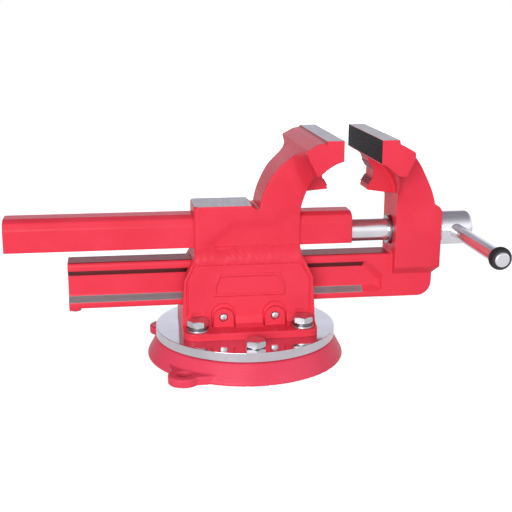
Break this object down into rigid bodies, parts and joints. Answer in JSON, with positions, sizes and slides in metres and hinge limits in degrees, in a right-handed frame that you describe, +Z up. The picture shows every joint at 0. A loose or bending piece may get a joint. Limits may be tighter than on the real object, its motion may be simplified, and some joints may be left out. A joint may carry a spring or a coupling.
{
  "type": "bench vise",
  "caption": "Forged steel bench vise with wide ground jaws, pipe jaws, anvil, twin guide bars and a T-handle screw, turning on a round swivel base with bolt lugs.",
  "frame": {"origin": "centre of the base's underside, on the swivel axis", "axes": "+Z up along the swivel axis, +X along the screw towards the handle, +Y towards the rear jaw end"},
  "size_m": [0.4454, 0.25, 0.2132],
  "materials": {
    "cast_red": "glossy red enamel over a cast surface",
    "forged_red": "glossy red enamel; anvil, jaw tops, jaw faces and guide strips are bare ground steel",
    "weld_red": "glossy red enamel over a weld bead",
    "plate_steel": "turned and polished",
    "zinc_steel": "bright zinc plate",
    "black_steel": "blackened",
    "chrome_steel": "polished",
    "black_rubber": "matt, finely ribbed",
    "bronze": "machined bronze"
  },
  "bodies": {
    "base": {"swivel_base": "cast_red"},
    "vise": {"clamp_shoe_front": "black_steel", "clamp_shoe_rear": "black_steel", "cross_pin_left": "zinc_steel", "cross_pin_right": "zinc_steel", "fixed_jaw": "forged_red", "flat_washer_front_left": "zinc_steel", "flat_washer_front_right": "zinc_steel", "flat_washer_rear_left": "zinc_steel", "flat_washer_rear_right": "zinc_steel", "foot_bolt_front_left": "zinc_steel", "foot_bolt_front_right": "zinc_steel", "foot_bolt_rear_left": "zinc_steel", "foot_bolt_rear_right": "zinc_steel", "gib_strip": "bronze", "guide_housing": "forged_red", "spindle_guard": "forged_red", "spindle_nut": "bronze", "spring_washer_front_left": "zinc_steel", "spring_washer_front_right": "zinc_steel", "spring_washer_rear_left": "zinc_steel", "spring_washer_rear_right": "zinc_steel", "swivel_plate": "plate_steel", "weld_bead_front": "weld_red", "weld_bead_rear": "weld_red"},
    "jaw": {"movable_jaw": "forged_red", "spindle_bush": "black_steel", "rail_stop": "forged_red", "rail_stop_screw": "black_steel"},
    "screw": {"spindle": "chrome_steel", "retaining_ring": "black_steel", "thrust_washer": "chrome_steel"},
    "handle": {"handle_bar": "chrome_steel", "handle_ring_front": "black_rubber", "handle_ring_rear": "black_rubber"},
    "lock_front": {"lock_bolt_front": "zinc_steel"},
    "lock_rear": {"lock_bolt_rear": "zinc_steel"}
  },
  "joints": [
    {"name": "swivel", "type": "hinge", "parent": "base", "child": "vise", "pos_m": [0, 0, 0.0285], "axis": [0, 0, 1], "continuous": true},
    {"name": "jaw_slide", "type": "slide", "parent": "vise", "child": "jaw", "axis": [1, 0, 0], "range_m": [-0.0337, 0.0926]},
    {"name": "spindle_spin", "type": "hinge", "parent": "jaw", "child": "screw", "pos_m": [0.19, 0, 0.1179], "axis": [1, 0, 0], "range_deg": [-2420, 6650]},
    {"name": "handle_slide", "type": "slide", "parent": "screw", "child": "handle", "axis": [0, 1, 0], "range_m": [-0.0935, 0.1]},
    {"name": "lock_front_turn", "type": "hinge", "parent": "vise", "child": "lock_front", "pos_m": [0, -0.069, 0.0285], "axis": [0, 0, 1], "range_deg": [0, 180]},
    {"name": "lock_rear_turn", "type": "hinge", "parent": "vise", "child": "lock_rear", "pos_m": [0, 0.069, 0.0285], "axis": [0, 0, 1], "range_deg": [0, 180]}
  ],
  "couplings": [
    {"joint": "jaw_slide", "follows": "spindle_spin", "m_per_rad": 0.00079577}
  ]
}
